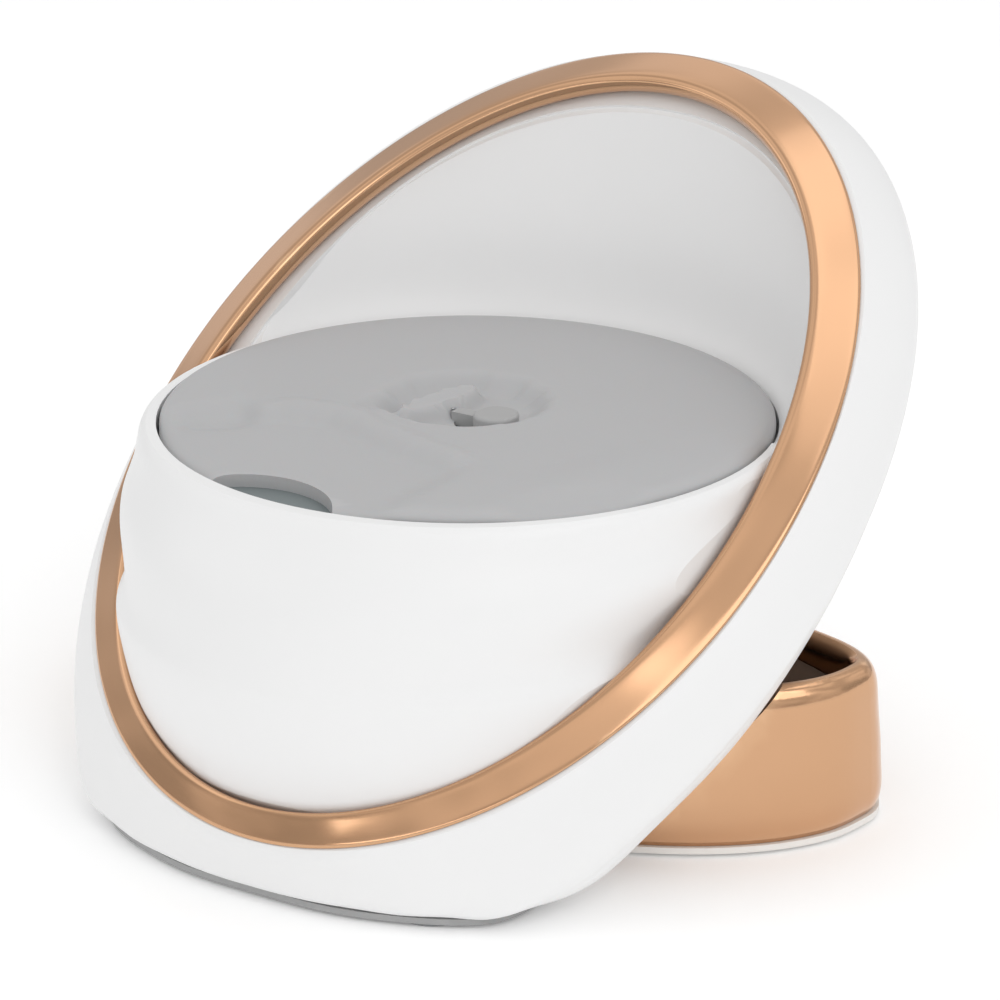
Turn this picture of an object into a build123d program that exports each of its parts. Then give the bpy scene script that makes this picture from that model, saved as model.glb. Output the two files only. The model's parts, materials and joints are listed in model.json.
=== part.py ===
import os
from math import atan, cos, exp, log, pi, radians, sin, sqrt, tan

from build123d import *

# Desktop skin scrubber in its charging stand. Millimetres, +Z up, front faces -Y.
# The origin is on the scrub pad's axis, at table level.

# ---- driving sizes ----
padRadius = 40.0          # soft scrub pad
padTop = 51.0             # height of the pad's face above the table
padThick = 2.9
backingThick = 1.5        # stiff disc moulded under the pad
drivePlateThick = 1.2
ringTilt = 36.4           # degrees from level, rising to the back
ringBack = 2.9            # ring centre behind the pad axis
ringHigh = 46.8           # ring centre above the table
ringHalfWidth = 48.8      # trim ring outer edge
ringHalfLength = 65.2
mouthHalfWidth = 42.3     # trim ring inner edge
mouthHalfLength = 59.2
mouthShift = -1.7
ringCrown = 2.4           # height of the ring's face above the ring plane
ringSeat = 1.0            # depth of the ring's tongue under the ring plane
caseDepth = 11.2          # ring plane back to the cover's crease
domeDepth = 19.5          # crease back to the rearmost point of the cover
caseFloor = 1.4           # underside of the case
shellWall = 2.0
skidThick = 0.8
bowlWall = 2.4
standHigh = 22.4          # top rim of the stand loop
standWall = 4.0
standHalfWidth = 54.7
standBase = 1.4           # underside of the loop
gearModule = 0.4
pinionTeeth = 16
wheelTeeth = 48
gearFace = 2.0
motorRadius = 10.0
motorLength = 25.0
spindleRadius = 3.0
journalRadius = 2.0
arborRadius = 1.0

# ---- fits ----
shaftFit = 0.03           # radial clearance of a turning fit
seatFit = 0.05            # clearance between pieces fixed to each other
airGap = 0.35             # clearance between pieces that move past each other

# ---- derived heights ----
padBottom = padTop - padThick - backingThick
drivePlateTop = padBottom - airGap
drivePlateBottom = drivePlateTop - drivePlateThick
deckTop = drivePlateBottom - airGap
deckThick = 1.3
deckBottom = deckTop - deckThick
mouthRadius = padRadius + 0.4
rimTop = padTop - 1.4
gearPlateTop = deckBottom - 9.6
gearPlateThick = 2.0
gearPlateBottom = gearPlateTop - gearPlateThick
wheelBottom = gearPlateTop + 0.9
outputBottom = wheelBottom + gearFace + 0.7
centreDistance = gearModule * (pinionTeeth + wheelTeeth) / 2
idlerY = -centreDistance
motorY = -2 * centreDistance
motorTop = gearPlateBottom - seatFit

tilt = radians(ringTilt)
ringPlane = Plane(origin=(0, ringBack, ringHigh), x_dir=(1, 0, 0), z_dir=(0, -sin(tilt), cos(tilt)))
levelPlane = Plane.XY


def behind(depth):
    """Plane parallel to the ring plane, a depth behind it."""
    return ringPlane.offset(-depth)


def oval(halfWidth, halfLength, shift=0.0, power=2.07, taper=0.0, steps=32):
    """Points round an oval; taper widens the lower end."""
    points = []
    for i in range(steps):
        a = 2 * pi * i / steps
        cx, cy = cos(a), sin(a)
        x = halfWidth * (abs(cx) ** (2 / power)) * (1 if cx >= 0 else -1)
        y = halfLength * (abs(cy) ** (2 / power)) * (1 if cy >= 0 else -1)
        points.append((x * (1 + taper * y / halfLength), y + shift))
    return points


def flattened(points, depth, floor, blend=1.6):
    """Lift the points that would fall below the floor height, with a rounded corner."""
    lowest = (floor - ringHigh + depth * cos(tilt)) / sin(tilt)
    lifted = []
    for x, v in points:
        t = (v - lowest) / blend
        rise = blend * log(1 + exp(t)) if t < 30 else v - lowest
        lifted.append((x, lowest + rise))
    return lifted


def caseSize(depth):
    """Side wall section sizes: bulges from the ring edge, then tucks in to the crease."""
    low, high = 0.0, 1.0
    for _ in range(30):
        s = (low + high) / 2
        d = 2 * s * (1 - s) * 8.3 * caseDepth / 11.15 + s * s * caseDepth
        if d < depth:
            low = s
        else:
            high = s
    a, b, c = (1 - s) ** 2, 2 * s * (1 - s), s * s
    halfWidth = a * ringHalfWidth + b * (ringHalfWidth + 7.5) + c * (ringHalfWidth + 2.4)
    halfLength = a * ringHalfLength + b * (ringHalfLength + 7.9) + c * (ringHalfLength + 9.5)
    return halfWidth, halfLength, -0.95 * b - 3.2 * c, -0.03 * a - 0.015 * b


def caseOval(depth, inset=0.0):
    halfWidth, halfLength, shift, taper = caseSize(depth)
    return oval(halfWidth - inset, halfLength - inset, shift, 2.07, taper)


def domeSize(share, inset=0.0):
    """Back cover section sizes at a share of the dome's depth."""
    k = (1 - share ** 1.9) ** (1 / 1.9)
    return (ringHalfWidth + 2.4 - inset) * k, (ringHalfLength + 9.5 - inset) * k, -3.2 + 4.0 * share


def domeOval(share, inset=0.0):
    halfWidth, halfLength, shift = domeSize(share, inset)
    return oval(halfWidth, halfLength, shift, 2.05)


def floorEdge(inset):
    """Right-hand edge of the flattened underside, front to back."""
    edge = []
    for i in range(40):
        depth = 2.0 + i * 0.6
        if depth < caseDepth:
            halfWidth, halfLength, shift, _ = caseSize(depth)
        else:
            halfWidth, halfLength, shift = domeSize((depth - caseDepth) / domeDepth)
        lowest = (caseFloor - ringHigh + depth * cos(tilt)) / sin(tilt)
        reach = 1 - (max(0.0, shift - lowest) / (halfLength - inset)) ** 2.07
        y = ringBack + lowest * cos(tilt) + depth * sin(tilt)
        if reach > 0.02:
            edge.append(((halfWidth - inset) * reach ** (1 / 2.07), y))
    return edge


def standOutline(high, inset=0.0, steps=32):
    """D-shaped outline of the stand loop: full front, flatter back, walls leaning in upwards."""
    k = (high - standBase) / (standHigh - standBase)
    halfWidth = standHalfWidth - 0.6 * k - inset
    middle = 12.0 - 1.0 * k
    front = 32.0 - 3.5 * k - inset
    back = 17.0 - 4.5 * k - inset
    points = []
    for i in range(steps):
        a = 2 * pi * i / steps
        cx, cy = cos(a), sin(a)
        power = 2.0 if cy < 0 else 2.5
        reach = front if cy < 0 else back
        x = halfWidth * (abs(cx) ** (2 / power)) * (1 if cx >= 0 else -1)
        y = reach * (abs(cy) ** (2 / power)) * (1 if cy >= 0 else -1)
        points.append((x, y + middle))
    return points


def gearOutline(teeth, pitchShare=0.47):
    """Closed outline of an involute spur gear, with backlash taken from the tooth width."""
    pitchRadius = gearModule * teeth / 2
    baseRadius = pitchRadius * cos(radians(20))
    tipRadius = pitchRadius + 0.9 * gearModule
    rootRadius = pitchRadius - 1.15 * gearModule
    involuteAtPitch = tan(radians(20)) - radians(20)
    halfTooth = pi * pitchShare / teeth
    flank = []
    for i in range(4):
        r = max(baseRadius, rootRadius) + (tipRadius - max(baseRadius, rootRadius)) * i / 3
        roll = sqrt(max(0.0, (r / baseRadius) ** 2 - 1))
        flank.append((r, halfTooth + involuteAtPitch - (roll - atan(roll))))
    points = []
    for n in range(teeth):
        middle = 2 * pi * n / teeth
        lowSide = [(rootRadius, flank[0][1])] if baseRadius > rootRadius else []
        side = lowSide + flank
        points += [(r * cos(middle - a), r * sin(middle - a)) for r, a in side]
        points += [(r * cos(middle + a), r * sin(middle + a)) for r, a in reversed(side)]
    return points


caseSteps = [0.0, 1.6, 3.4, 5.4, 7.4, 9.4, 10.6]
domeShares = [0.0, 0.14, 0.32, 0.52, 0.70, 0.84, 0.93, 0.98]

# ---- pod: rear case ----
with BuildPart() as rearCase:
    for d in caseSteps + [caseDepth]:
        with BuildSketch(behind(d)):
            with BuildLine():
                Spline(flattened(caseOval(d), d, caseFloor), periodic=True)
            make_face()
    loft()
with BuildPart() as caseHollow:
    for d in caseSteps + [caseDepth]:
        with BuildSketch(behind(d)):
            with BuildLine():
                Spline(flattened(caseOval(d, shellWall), d, caseFloor + shellWall), periodic=True)
            make_face()
    loft()
with BuildPart() as caseMouths:
    for d, far in ((0.0, -1.0), (caseDepth, caseDepth + 1.0)):
        with BuildSketch(behind(d)):
            with BuildLine():
                Spline(flattened(caseOval(d, shellWall), d, caseFloor + shellWall), periodic=True)
            make_face()
        extrude(amount=d - far)
with BuildPart() as rear_case:
    add(rearCase.part)
    add(caseHollow.part, mode=Mode.SUBTRACT)
    add(caseMouths.part, mode=Mode.SUBTRACT)
rear_case.part.label = "rear_case"

# ---- pod: outer envelope of the domed back, used for the cover and to clear the stand ----
with BuildPart() as domeSolid:
    for s in domeShares:
        d = caseDepth + seatFit + s * domeDepth
        with BuildSketch(behind(d)):
            with BuildLine():
                Spline(flattened(domeOval(s), d, caseFloor), periodic=True)
            make_face()
    loft()
with BuildPart() as domeHollow:
    for s in domeShares:
        d = caseDepth + seatFit + s * (domeDepth - shellWall)
        with BuildSketch(behind(d)):
            with BuildLine():
                Spline(flattened(domeOval(s, shellWall), d, caseFloor + shellWall), periodic=True)
            make_face()
    loft()
with BuildPart() as standClearance:
    with BuildSketch(behind(caseDepth - 6.0)):
        with BuildLine():
            Spline(domeOval(0.0, -airGap - 0.6), periodic=True)
        make_face()
    for s in domeShares:
        d = caseDepth + 0.4 * (1 - s) + s * (domeDepth + airGap + 0.1)
        with BuildSketch(behind(d)):
            with BuildLine():
                Spline(domeOval(s, -airGap - 0.3), periodic=True)
            make_face()
    loft()

# ---- pod: trim ring ----
ringCrownSteps = [(seatFit, 0.0, 0.0), (0.6, 0.12, 0.3), (1.0, 0.5, 0.6), (1.5, 1.9, 2.0),
                  (2.0, 3.6, 4.0), (ringCrown, 5.0, 6.0)]
with BuildPart() as ringOuter:
    for high, inset, drop in ringCrownSteps:
        with BuildSketch(ringPlane.offset(high)):
            with BuildLine():
                Spline(oval(ringHalfWidth - inset, ringHalfLength - inset, -0.2 * drop, 2.07, -0.03), periodic=True)
            make_face()
    loft()
with BuildPart() as ringMouth:
    for high, widen in ((-ringSeat - 1, 0.0), (1.3, 0.0), (1.9, 0.15), (2.25, 0.5), (ringCrown + 0.1, 1.0)):
        with BuildSketch(ringPlane.offset(high)):
            with BuildLine():
                Spline(oval(mouthHalfWidth + widen, mouthHalfLength + widen, mouthShift, 2.15), periodic=True)
            make_face()
    loft()
with BuildPart() as ringTongue:
    with BuildSketch(ringPlane.offset(-ringSeat)):
        with BuildLine():
            Spline(oval(ringHalfWidth - shellWall - 0.2, ringHalfLength - shellWall - 0.2, 0, 2.07, -0.03),
                   periodic=True)
        make_face()
    extrude(amount=ringSeat + 0.4)
with BuildPart() as trim_ring:
    add(ringOuter.part)
    add(ringTongue.part)
    add(ringMouth.part, mode=Mode.SUBTRACT)
trim_ring.part.label = "trim_ring"

with BuildPart() as ringRoom:
    with BuildSketch(ringPlane.offset(-ringSeat - seatFit)):
        with BuildLine():
            Spline(oval(ringHalfWidth + 4, ringHalfLength + 4, 0, 2.07, -0.03), periodic=True)
        make_face()
        with BuildLine():
            Spline(oval(mouthHalfWidth - seatFit, mouthHalfLength - seatFit, mouthShift, 2.15), periodic=True)
        make_face(mode=Mode.SUBTRACT)
    extrude(amount=ringCrown + 9)

# ---- pod: front housing, bowl and back wall in one moulding with its flange and deck ----
flangeTop = -ringSeat - seatFit
flangeThick = 2.0
bossHoles = [(36.0, 38.0), (-36.0, 38.0), (36.0, -38.0), (-36.0, -38.0)]
postSpots = [(16.0, -4.0), (-16.0, -4.0), (16.0, -30.0), (-16.0, -30.0)]
# level sections of the bowl: height, half width, reach to the front
bowlSections = [(3.0, 37.0, 45.6), (8.0, 38.2, 46.6), (12.4, 39.0, 47.5), (16.8, 40.3, 49.3), (22.1, 41.4, 51.0),
                (29.1, 42.1, 51.9), (37.6, 42.5, 49.6), (44.0, 42.5, 46.2), (47.6, 42.3, 43.9),
                (rimTop - 0.5, 42.1, 42.8), (rimTop, 41.5, 42.1)]
with BuildPart() as bowlOuter:
    for high, halfWidth, reach in bowlSections:
        with BuildSketch(levelPlane.offset(high)):
            Ellipse(halfWidth, reach)
    loft()
with BuildPart() as bowlInner:
    for high, halfWidth, reach in bowlSections[:7]:
        with BuildSketch(levelPlane.offset(high)):
            Ellipse(halfWidth - bowlWall, reach - bowlWall)
    loft()
with BuildPart() as bowlShell:
    add(bowlOuter.part)
    add(bowlInner.part, mode=Mode.SUBTRACT)
    with BuildSketch(levelPlane.offset(36.0)):
        Circle(mouthRadius - 1.0)
    extrude(amount=3.0, mode=Mode.SUBTRACT)
    with BuildSketch(levelPlane.offset(deckBottom - 5.0)):
        Circle(mouthRadius)
    extrude(amount=rimTop - deckBottom + 6.0, mode=Mode.SUBTRACT)
    split(bisect_by=behind(-flangeTop + flangeThick), keep=Keep.TOP)
with BuildPart() as backWall:
    with BuildSketch(Plane.XZ):
        with BuildLine():
            Line((mouthRadius, deckBottom), (mouthRadius, rimTop - 0.5))
            Spline((mouthRadius, rimTop - 0.5), (42.4, 52.0), (44.4, 60.0), (46.3, 68.0), (47.9, 75.0), (49.4, 94.0))
            Line((49.4, 94.0), (51.0, 94.0))
            Spline((51.0, 94.0), (50.6, 83.0), (49.5, 75.0), (47.9, 68.0), (46.0, 60.0), (44.0, 52.0), (41.8, deckBottom))
            Line((41.8, deckBottom), (mouthRadius, deckBottom))
        make_face()
    revolve(axis=Axis.Z)
    split(bisect_by=ringPlane.offset(flangeTop - 0.4), keep=Keep.BOTTOM)
with BuildPart() as flange:
    with BuildSketch(ringPlane.offset(flangeTop - flangeThick)):
        with BuildLine():
            Spline(oval(ringHalfWidth - shellWall - 0.2, ringHalfLength - shellWall - 0.2, 0, 2.07, -0.03),
                   periodic=True)
        make_face()
        with BuildLine():
            Spline(oval(mouthHalfWidth - 1.0, mouthHalfLength - 1.0, mouthShift, 2.15), periodic=True)
        make_face(mode=Mode.SUBTRACT)
    extrude(amount=flangeThick)
with BuildPart() as housingFront:
    add(bowlShell.part)
    add(flange.part)
    add(ringRoom.part, mode=Mode.SUBTRACT)
with BuildPart() as front_housing:
    add(housingFront.part)
    add(backWall.part)
    with BuildSketch(levelPlane.offset(deckBottom)):
        Circle(mouthRadius + 0.6)
    extrude(amount=deckThick)
    with BuildSketch(levelPlane.offset(deckBottom - 3.0)):
        Circle(7.0)
        with Locations((0, idlerY)):
            Circle(2.6)
    extrude(amount=3.0)
    with BuildSketch(levelPlane.offset(gearPlateTop + seatFit)):
        with Locations(*postSpots):
            Circle(2.6)
    extrude(amount=deckBottom - gearPlateTop - seatFit)
    with BuildSketch(levelPlane.offset(deckBottom - 3.0)):
        Circle(5.0 + seatFit)
    extrude(amount=deckThick + 3.0, mode=Mode.SUBTRACT)
    with BuildSketch(levelPlane.offset(deckBottom - 3.0)):
        with Locations((0, idlerY)):
            Circle(arborRadius + seatFit)
    extrude(amount=2.0, mode=Mode.SUBTRACT)
    with BuildSketch(levelPlane.offset(gearPlateTop - 1)):
        with Locations(*postSpots):
            Circle(1.0)
    extrude(amount=6.0, mode=Mode.SUBTRACT)
    with BuildSketch(behind(-flangeTop + flangeThick + 1)):
        with Locations(*bossHoles):
            Circle(1.0)
    extrude(amount=flangeThick + 0.5, mode=Mode.SUBTRACT)
front_housing.part.label = "front_housing"

# ---- pod: back cover with its screw bosses ----
buttonSpot = (0.0, 20.0)
buttonRadius = 4.0
with BuildPart() as coverBosses:
    with BuildSketch(behind(-flangeTop + flangeThick + 0.2)):
        with Locations(*bossHoles):
            Circle(2.4)
    extrude(amount=-18.0)
with BuildPart() as bossTrim:
    add(coverBosses.part)
    add(domeSolid.part, mode=Mode.INTERSECT)
with BuildPart() as bossFront:
    with BuildSketch(behind(-flangeTop + flangeThick + 0.2)):
        with Locations(*bossHoles):
            Circle(2.4)
    extrude(amount=-(caseDepth + 1.2 + flangeTop - flangeThick))
with BuildPart() as back_cover:
    add(domeSolid.part)
    add(domeHollow.part, mode=Mode.SUBTRACT)
    add(bossTrim.part)
    add(bossFront.part)
    with BuildSketch(behind(0)):
        with Locations(*bossHoles):
            Circle(1.15)
    extrude(amount=-40, mode=Mode.SUBTRACT)
    with BuildSketch(behind(13.35)):
        with Locations(*bossHoles):
            Circle(2.05)
    extrude(amount=-20, mode=Mode.SUBTRACT)
    with BuildSketch(behind(caseDepth + 8)):
        with Locations(buttonSpot):
            Circle(buttonRadius + 0.25)
    extrude(amount=-20, mode=Mode.SUBTRACT)
back_cover.part.label = "back_cover"

with BuildPart() as cover_screws:
    with BuildSketch(behind(13.4)):
        with Locations(*bossHoles):
            Circle(1.9)
    extrude(amount=-1.15)
    with BuildSketch(behind(1.7)):
        with Locations(*bossHoles):
            Circle(0.95)
    extrude(amount=-12.0)
cover_screws.part.label = "cover_screws"

# ---- pod: skid plate under the flattened front, and its two feet ----
skidTop = caseFloor - 3 * seatFit
skidBottom = skidTop - skidThick
footRadius = 4.5
footSpots = [(21.0, -40.0), (-21.0, -40.0)]
skidInset = 2.6
skidBack = -24.0
skidEdge = [(x, y) for x, y in floorEdge(skidInset) if y < skidBack][::3]
skidFront = (0.0, skidEdge[0][1] - 0.35)
skidLine = [skidFront] + skidEdge
with BuildPart() as skid_plate:
    with BuildSketch(levelPlane.offset(skidBottom)):
        with BuildLine():
            Spline(skidLine, tangents=((1, 0), (0, 1)), tangent_scalars=(1, 0.2))
            Line(skidLine[-1], (0, skidLine[-1][1]))
            Line((0, skidLine[-1][1]), skidFront)
        make_face()
        mirror(about=Plane.YZ)
    extrude(amount=skidThick)
skid_plate.part.label = "skid_plate"
with BuildPart() as pod_feet:
    with BuildSketch(levelPlane):
        with Locations(*footSpots):
            Circle(footRadius)
    extrude(amount=skidBottom - seatFit)
    fillet(pod_feet.edges().group_by(Axis.Z)[0], 0.3)
pod_feet.part.label = "pod_feet"

# ---- pod: gear plate, motor and gear train ----
with BuildPart() as gear_plate:
    with BuildSketch(levelPlane.offset(gearPlateBottom)):
        with Locations((0, -16.0)):
            RectangleRounded(38.5, 44.0, 6.0)
        with Locations(*postSpots):
            Circle(1.15, mode=Mode.SUBTRACT)
        Circle(4.0 + seatFit, mode=Mode.SUBTRACT)
        with Locations((0, idlerY)):
            Circle(arborRadius + seatFit, mode=Mode.SUBTRACT)
        with Locations((0, motorY)):
            Circle(3.5, mode=Mode.SUBTRACT)
        with Locations((7.0, motorY), (-7.0, motorY)):
            Circle(1.1, mode=Mode.SUBTRACT)
    extrude(amount=gearPlateThick)
gear_plate.part.label = "gear_plate"

with BuildPart() as plate_screws:
    with BuildSketch(levelPlane.offset(gearPlateBottom - 1.4)):
        with Locations(*postSpots):
            Circle(1.8)
    extrude(amount=1.4 - seatFit)
    with BuildSketch(levelPlane.offset(gearPlateBottom - 0.2)):
        with Locations(*postSpots):
            Circle(0.95)
    extrude(amount=6.5)
plate_screws.part.label = "plate_screws"

with BuildPart() as motor_can:
    with BuildSketch(levelPlane.offset(motorTop - motorLength)):
        with Locations((0, motorY)):
            Circle(motorRadius)
    extrude(amount=motorLength)
    fillet(motor_can.edges().group_by(Axis.Z)[0], 0.8)
    with BuildSketch(levelPlane.offset(motorTop)):
        with Locations((0, motorY)):
            Circle(3.2)
    extrude(amount=1.2)
    with BuildSketch(levelPlane.offset(motorTop - motorLength + 3)):
        with Locations((0, motorY)):
            Circle(1.0 + shaftFit)
    extrude(amount=motorLength, mode=Mode.SUBTRACT)
    with BuildSketch(levelPlane.offset(motorTop - 3.0)):
        with Locations((7.0, motorY), (-7.0, motorY)):
            Circle(1.0)
    extrude(amount=4.0, mode=Mode.SUBTRACT)
motor_can.part.label = "motor_can"

with BuildPart() as motor_screws:
    with BuildSketch(levelPlane.offset(gearPlateTop + seatFit)):
        with Locations((7.0, motorY), (-7.0, motorY)):
            Circle(1.7)
    extrude(amount=0.8)
    with BuildSketch(levelPlane.offset(motorTop - 2.6)):
        with Locations((7.0, motorY), (-7.0, motorY)):
            Circle(0.95)
    extrude(amount=gearPlateTop - motorTop + 3.0)
motor_screws.part.label = "motor_screws"

pinionTurn = 180.0 / pinionTeeth
with BuildPart() as motor_shaft:
    with BuildSketch(levelPlane.offset(motorTop - motorLength + 3.2)):
        with Locations((0, motorY)):
            Circle(1.0)
    extrude(amount=wheelBottom + gearFace + 0.6 - (motorTop - motorLength + 3.2))
motor_shaft.part.label = "motor_shaft"
with BuildPart() as motor_pinion:
    with BuildSketch(levelPlane.offset(wheelBottom - 0.2)):
        with BuildLine():
            Polyline(*gearOutline(pinionTeeth), close=True)
        make_face()
        Circle(1.0 + 0.01, mode=Mode.SUBTRACT)
    extrude(amount=gearFace + 0.4)
motor_pinion.part = Pos(0, motorY, 0) * Rot(0, 0, 90 + pinionTurn) * motor_pinion.part
motor_pinion.part.label = "motor_pinion"

idlerTopFace = outputBottom + gearFace + 0.3
with BuildPart() as idler_gear:
    with BuildSketch(levelPlane.offset(wheelBottom)):
        with BuildLine():
            Polyline(*gearOutline(wheelTeeth), close=True)
        make_face()
    extrude(amount=gearFace)
with BuildPart() as idlerSmall:
    with BuildSketch(levelPlane.offset(wheelBottom + gearFace - 0.1)):
        with BuildLine():
            Polyline(*gearOutline(pinionTeeth), close=True)
        make_face()
    extrude(amount=idlerTopFace - wheelBottom - gearFace + 0.1)
with BuildPart() as idlerWhole:
    add(idler_gear.part)
    add(Rot(0, 0, pinionTurn) * idlerSmall.part)
    with BuildSketch(levelPlane.offset(gearPlateTop)):
        Circle(arborRadius + shaftFit)
    extrude(amount=20, mode=Mode.SUBTRACT)
idler_gear.part = Pos(0, idlerY, 0) * Rot(0, 0, 90) * idlerWhole.part
idler_gear.part.label = "idler_gear"
with BuildPart() as idler_arbor:
    with BuildSketch(levelPlane.offset(gearPlateBottom + 0.2)):
        with Locations((0, idlerY)):
            Circle(arborRadius)
    extrude(amount=deckBottom - 1.2 - gearPlateBottom - 0.2)
idler_arbor.part.label = "idler_arbor"

with BuildPart() as output_gear:
    with BuildSketch(levelPlane.offset(outputBottom)):
        with BuildLine():
            Polyline(*gearOutline(wheelTeeth), close=True)
        make_face()
        Circle(spindleRadius + 0.01, mode=Mode.SUBTRACT)
        with PolarLocations(6.6, 5):
            Circle(1.5, mode=Mode.SUBTRACT)
    extrude(amount=gearFace)
output_gear.part = Rot(0, 0, 90) * output_gear.part
output_gear.part.label = "output_gear"

with BuildPart() as spindle:
    with BuildSketch(levelPlane.offset(gearPlateBottom - 0.2)):
        Circle(journalRadius)
    extrude(amount=outputBottom - gearPlateBottom)
    with BuildSketch(levelPlane.offset(outputBottom - 0.25)):
        Circle(spindleRadius)
    extrude(amount=drivePlateBottom - outputBottom + 0.25 + 0.7)
spindle.part.label = "spindle"
with BuildPart() as lower_bearing:
    with BuildSketch(levelPlane.offset(gearPlateBottom)):
        Circle(4.0)
        Circle(journalRadius + shaftFit, mode=Mode.SUBTRACT)
    extrude(amount=gearPlateThick)
    with BuildSketch(levelPlane.offset(gearPlateBottom - 0.8)):
        Circle(5.0)
        Circle(journalRadius + shaftFit, mode=Mode.SUBTRACT)
    extrude(amount=0.8 - seatFit)
    with BuildSketch(levelPlane.offset(gearPlateBottom - 0.1)):
        Circle(4.0)
        Circle(journalRadius + shaftFit, mode=Mode.SUBTRACT)
    extrude(amount=0.2)
lower_bearing.part.label = "lower_bearing"
with BuildPart() as upper_bearing:
    with BuildSketch(levelPlane.offset(deckBottom - 2.9)):
        Circle(5.0)
        Circle(spindleRadius + shaftFit, mode=Mode.SUBTRACT)
    extrude(amount=2.8)
upper_bearing.part.label = "upper_bearing"
with BuildPart() as shaft_seal:
    with BuildSketch(levelPlane.offset(deckBottom)):
        Circle(5.0)
        Circle(spindleRadius + shaftFit, mode=Mode.SUBTRACT)
    extrude(amount=deckThick - 0.1)
shaft_seal.part.label = "shaft_seal"
with BuildPart() as drive_plate:
    with BuildSketch(levelPlane.offset(drivePlateBottom)):
        Circle(padRadius - 0.4)
    extrude(amount=drivePlateThick)
    fillet(drive_plate.edges().group_by(Axis.Z)[-1], 0.3)
    with BuildSketch(levelPlane.offset(drivePlateBottom)):
        Circle(spindleRadius + 0.01)
    extrude(amount=0.7 + 0.01, mode=Mode.SUBTRACT)
    with BuildSketch(levelPlane.offset(drivePlateBottom)):
        Circle(1.05)
    extrude(amount=drivePlateThick, mode=Mode.SUBTRACT)
drive_plate.part.label = "drive_plate"

# ---- scrub pad ----
notchSpot = (-4.6, -45.2)
notchRadius = 12.2
dimpleRadius = 10.4
dimpleDepth = 1.5
backingTop = padBottom + backingThick
slotLeft, slotRight = -1.6, 7.6
springWay = -7.0
with BuildPart() as scrub_pad:
    with BuildSketch(levelPlane.offset(backingTop)):
        Circle(padRadius)
    extrude(amount=padThick)
    fillet(scrub_pad.edges().group_by(Axis.Z)[-1], 1.1)
    with BuildSketch(levelPlane.offset(backingTop - 1)):
        with Locations(notchSpot):
            Circle(notchRadius)
    extrude(amount=padThick + 2, mode=Mode.SUBTRACT)
    with BuildSketch(levelPlane.offset(padTop - dimpleDepth)):
        Circle(dimpleRadius)
    extrude(amount=dimpleDepth + 1, taper=-35, mode=Mode.SUBTRACT)
    with BuildSketch(levelPlane.offset(padTop - dimpleDepth - 0.1)):
        with Locations((-5.2, 1.8)):
            Ellipse(2.6, 6.6, rotation=-24)
    extrude(amount=dimpleDepth + 0.1)
    with BuildSketch(levelPlane.offset(backingTop - 1)):
        with Locations(((slotLeft + slotRight) / 2, 0)):
            SlotOverall(slotRight - slotLeft, 7.0)
    extrude(amount=padThick + 2, mode=Mode.SUBTRACT)
    with BuildSketch(levelPlane.offset(backingTop)):
        with Locations(((springWay + slotLeft + 3.0) / 2, 0)):
            Rectangle(slotLeft - springWay + 3.0, 2.4)
    extrude(amount=2.3, mode=Mode.SUBTRACT)
scrub_pad.part.label = "scrub_pad"
with BuildPart() as pad_backing:
    with BuildSketch(levelPlane.offset(padBottom)):
        Circle(padRadius - 0.3)
    extrude(amount=backingThick - seatFit)
pad_backing.part.label = "pad_backing"

# ---- pad latch: tab sliding in the slot, with its spring ----
latchStroke = 2.0
tabLength = 5.6
tabX = slotRight - 0.4 - tabLength / 2
stemLeft = -1.9           # the tab's stem reaches under the pad's skin, where the spring pushes on it
with BuildPart() as latch_tab:
    with BuildSketch(levelPlane.offset(backingTop + 0.05)):
        with Locations((tabX, 0)):
            RectangleRounded(tabLength, 6.2, 2.7)
    extrude(amount=padThick - 0.4)
    fillet(latch_tab.edges().group_by(Axis.Z)[-1], 0.5)
    with BuildSketch(levelPlane.offset(backingTop + 0.05)):
        with Locations(((stemLeft + tabX) / 2, 0)):
            Rectangle(tabX - stemLeft, 1.9)
    extrude(amount=1.8)
latch_tab.part.label = "latch_tab"
springLeft = springWay + 0.5
springRight = stemLeft - 0.5
springRadius = 0.75
with BuildPart() as latch_spring:
    with BuildLine() as coil:
        Helix(pitch=0.9, height=springRight - springLeft, radius=springRadius)
    with BuildSketch(Plane(origin=coil.line @ 0, z_dir=coil.line % 0)):
        Circle(0.18)
    sweep(is_frenet=True)
latch_spring.part = Pos(springLeft + 0.2, 0, backingTop + 1.1) * Rot(0, 90, 0) * latch_spring.part
latch_spring.part.label = "latch_spring"

# ---- pod: battery, boards, coil and switch ----
with BuildPart() as battery_cell:
    with BuildSketch(behind(20.5)):
        RectangleRounded(34.0, 27.0, 2.0)
    extrude(amount=-5.2)
    fillet(battery_cell.edges().filter_by(GeomType.LINE).group_by(SortBy.LENGTH)[-1], 0.8)
battery_cell.part.label = "battery_cell"
coilSpot = (0.0, -8.0)
with BuildPart() as pod_ferrite:
    with BuildSketch(behind(25.8)):
        with Locations(coilSpot):
            Circle(11.5)
    extrude(amount=-0.4)
pod_ferrite.part.label = "pod_ferrite"
with BuildPart() as receiver_coil:
    with BuildSketch(behind(26.25)):
        with Locations(coilSpot):
            Circle(11.0)
            Circle(6.0, mode=Mode.SUBTRACT)
    extrude(amount=-0.8)
receiver_coil.part.label = "receiver_coil"
with BuildPart() as main_board:
    with BuildSketch(Plane.XZ.offset(38.0)):
        with Locations((0, 18.0)):
            RectangleRounded(32.0, 20.0, 1.0)
    extrude(amount=1.2)
    with BuildSketch(Plane.XZ.offset(37.0)):
        with Locations((-8.0, 20.0), (8.0, 14.0)):
            Rectangle(5.0, 5.0)
        with Locations((4.0, 23.0)):
            Rectangle(7.0, 3.0)
    extrude(amount=1.0)
main_board.part.label = "main_board"
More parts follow.
